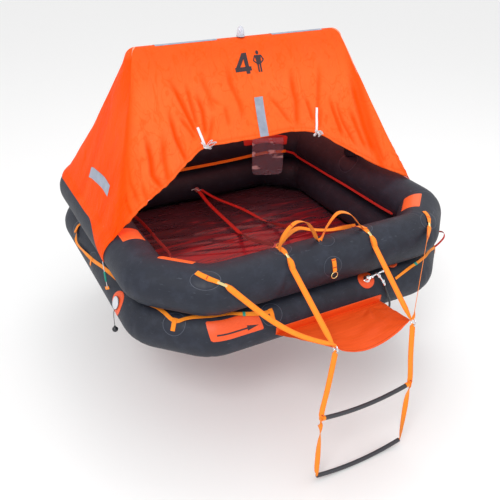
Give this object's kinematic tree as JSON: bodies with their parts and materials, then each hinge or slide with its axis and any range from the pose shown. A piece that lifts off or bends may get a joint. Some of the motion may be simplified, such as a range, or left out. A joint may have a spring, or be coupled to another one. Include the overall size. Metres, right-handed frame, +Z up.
{
  "type": "inflatable life raft",
  "caption": "Octagonal inflatable life raft with two stacked tubes, a ridge canopy rolled up at the entrance, a boarding ramp and a hanging rung ladder.",
  "frame": {"origin": "on the still waterline, in the middle of the raft's plan, where the water holds it up", "axes": "+Z up, +X to the right along the entrance side, the entrance and its ladder on -Y"},
  "size_m": [1.7886, 2.1078, 1.7718],
  "materials": {
    "tube_rubber": "matt coated fabric, dark slate blue",
    "floor_rubber": "semi-gloss coated fabric, near black with a maroon tone",
    "canopy_cloth": "bright orange coated cloth",
    "ramp_cloth": "deep orange coated cloth",
    "orange_patch": "orange coated fabric, glued",
    "webbing": "woven orange-yellow webbing",
    "red_webbing": "woven red webbing",
    "steel": "polished",
    "grey_plastic": "moulded, pale grey",
    "black_rubber": "smooth black",
    "pocket_cloth": "black coated cloth",
    "clear_film": "clear flexible film",
    "lamp_plastic": "clear moulded dome",
    "tie_cord": "white braided cord with a coloured sleeve",
    "bottle_paint": "grey paint"
  },
  "bodies": {
    "raft": {"lower_tube": "tube_rubber", "upper_tube": "tube_rubber", "raft_floor": "floor_rubber", "arch_tube": "tube_rubber", "canopy": "canopy_cloth", "canopy_lamp": "lamp_plastic", "boarding_ramp": "ramp_cloth", "ramp_ring_left": "steel", "ramp_ring_right": "steel", "strap_outer_left": "webbing", "strap_outer_right": "webbing", "strap_inner_left": "webbing", "strap_inner_right": "webbing", "entrance_handle": "webbing", "floor_strap_anchor": "black_rubber", "floor_strap_left": "red_webbing", "floor_strap_right": "red_webbing", "grab_line_front_left": "webbing", "grab_line_front_right": "webbing", "grab_line_left": "webbing", "grab_line_right": "webbing", "grab_line_back": "webbing", "inside_line": "red_webbing", "tow_tab": "webbing", "label_left": "orange_patch", "label_front_left": "orange_patch", "label_front_right": "orange_patch", "boarding_sign": "orange_patch", "valve_patch": "orange_patch", "valve_disc": "grey_plastic", "valve_tether": "black_rubber", "valve_plug": "black_rubber", "gas_patch": "orange_patch", "gas_inlet": "steel", "gas_fitting": "steel", "gas_hose": "black_rubber", "gas_bottle": "bottle_paint", "water_pocket_front_left": "pocket_cloth", "water_pocket_front_right": "pocket_cloth", "water_pocket_back_left": "pocket_cloth", "water_pocket_back_right": "pocket_cloth", "clear_pocket": "clear_film", "pocket_flap": "orange_patch", "corner_tie_left": "tie_cord", "corner_tie_right": "tie_cord"},
    "ladder_upper": {"ladder_web_upper_left": "webbing", "ladder_web_upper_right": "webbing", "rung_upper": "black_rubber"},
    "ladder_lower": {"ladder_web_lower_left": "webbing", "ladder_web_lower_right": "webbing", "rung_lower": "black_rubber"},
    "tow_ring": {"tow_ring": "steel"}
  },
  "joints": [
    {"name": "ladder_swing", "type": "hinge", "parent": "raft", "child": "ladder_upper", "pos_m": [0, -1.2, 0.17], "axis": [1, 0, 0], "range_deg": [-90, 35]},
    {"name": "lower_rung_swing", "type": "hinge", "parent": "ladder_upper", "child": "ladder_lower", "pos_m": [0, -1.2, -0.195], "axis": [1, 0, 0], "range_deg": [-60, 60]},
    {"name": "tow_ring_swing", "type": "hinge", "parent": "raft", "child": "tow_ring", "pos_m": [0, -0.8835, 0.30134], "axis": [1, 0, 0], "range_deg": [-100, 3]}
  ]
}
